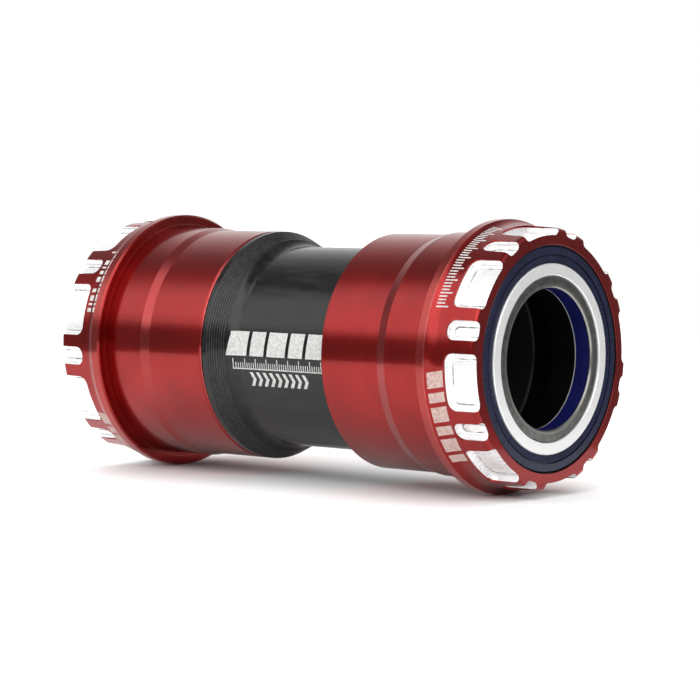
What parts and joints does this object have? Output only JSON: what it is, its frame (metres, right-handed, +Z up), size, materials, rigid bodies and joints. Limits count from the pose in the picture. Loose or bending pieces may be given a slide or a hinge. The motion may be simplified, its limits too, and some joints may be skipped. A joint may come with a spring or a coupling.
{
  "type": "bottom bracket",
  "caption": "Thread-together bottom bracket: two notched, flanged cups with ball bearings on a centre sleeve, pressed into a bicycle shell to carry a crank spindle.",
  "frame": {"origin": "on the spindle axis, in the middle plane of the shell, halfway between the two cup shoulders", "axes": "+X along the spindle axis to the drive side, +Z up when the axis lies level, +Y to the back of that view"},
  "size_m": [0.0946, 0.0466, 0.0466],
  "materials": {
    "red_anodised": "turned and anodised, tool notches milled to bare metal",
    "black_anodised": "turned and anodised, satin",
    "bearing_steel": "ground",
    "ball_steel": "polished",
    "cage_plastic": "moulded",
    "black_rubber": "moulded",
    "blue_seal": "satin moulded",
    "bright_ring": "brushed",
    "blue_liner": "moulded"
  },
  "bodies": {
    "sleeve_assembly": {"centre_sleeve": "black_anodised", "non_drive_cup": "red_anodised", "non_drive_bearing_outer_race": "bearing_steel", "non_drive_bearing_outboard_seal": "black_rubber", "non_drive_bearing_inboard_seal": "black_rubber", "non_drive_dust_seal": "blue_seal", "non_drive_sleeve_o_ring": "black_rubber"},
    "non_drive_spindle_set": {"non_drive_bearing_inner_race": "bearing_steel", "non_drive_wear_ring": "bright_ring", "non_drive_spindle_liner": "blue_liner"},
    "non_drive_ball_set": {"non_drive_bearing_balls": "ball_steel", "non_drive_bearing_cage": "cage_plastic"},
    "drive_cup_carrier": {"drive_sleeve_o_ring": "black_rubber"},
    "drive_cup_assembly": {"drive_cup": "red_anodised", "drive_bearing_outer_race": "bearing_steel", "drive_bearing_outboard_seal": "black_rubber", "drive_bearing_inboard_seal": "black_rubber", "drive_dust_seal": "blue_seal"},
    "drive_spindle_set": {"drive_bearing_inner_race": "bearing_steel", "drive_wear_ring": "bright_ring", "drive_spindle_liner": "blue_liner"},
    "drive_ball_set": {"drive_bearing_balls": "ball_steel", "drive_bearing_cage": "cage_plastic"}
  },
  "joints": [
    {"name": "drive_cup_travel", "type": "slide", "parent": "sleeve_assembly", "child": "drive_cup_carrier", "axis": [1, 0, 0], "range_m": [-0.005, 0.006]},
    {"name": "drive_cup_screw", "type": "hinge", "parent": "drive_cup_carrier", "child": "drive_cup_assembly", "pos_m": [0.0422, 0, 0], "axis": [1, 0, 0], "range_deg": [-1800, 2160]},
    {"name": "drive_spindle_spin", "type": "hinge", "parent": "drive_cup_assembly", "child": "drive_spindle_set", "pos_m": [0.0422, 0, 0], "axis": [1, 0, 0], "continuous": true},
    {"name": "drive_balls_roll", "type": "hinge", "parent": "drive_cup_assembly", "child": "drive_ball_set", "pos_m": [0.0422, 0, 0], "axis": [1, 0, 0], "continuous": true},
    {"name": "non_drive_spindle_spin", "type": "hinge", "parent": "sleeve_assembly", "child": "non_drive_spindle_set", "pos_m": [-0.0422, 0, 0], "axis": [1, 0, 0], "continuous": true},
    {"name": "non_drive_balls_roll", "type": "hinge", "parent": "sleeve_assembly", "child": "non_drive_ball_set", "pos_m": [-0.0422, 0, 0], "axis": [1, 0, 0], "continuous": true}
  ],
  "couplings": [
    {"joint": "drive_cup_travel", "follows": "drive_cup_screw", "m_per_rad": 0.00015915},
    {"joint": "drive_balls_roll", "follows": "drive_spindle_spin", "ratio": 0.44795},
    {"joint": "non_drive_balls_roll", "follows": "non_drive_spindle_spin", "ratio": 0.44795}
  ]
}
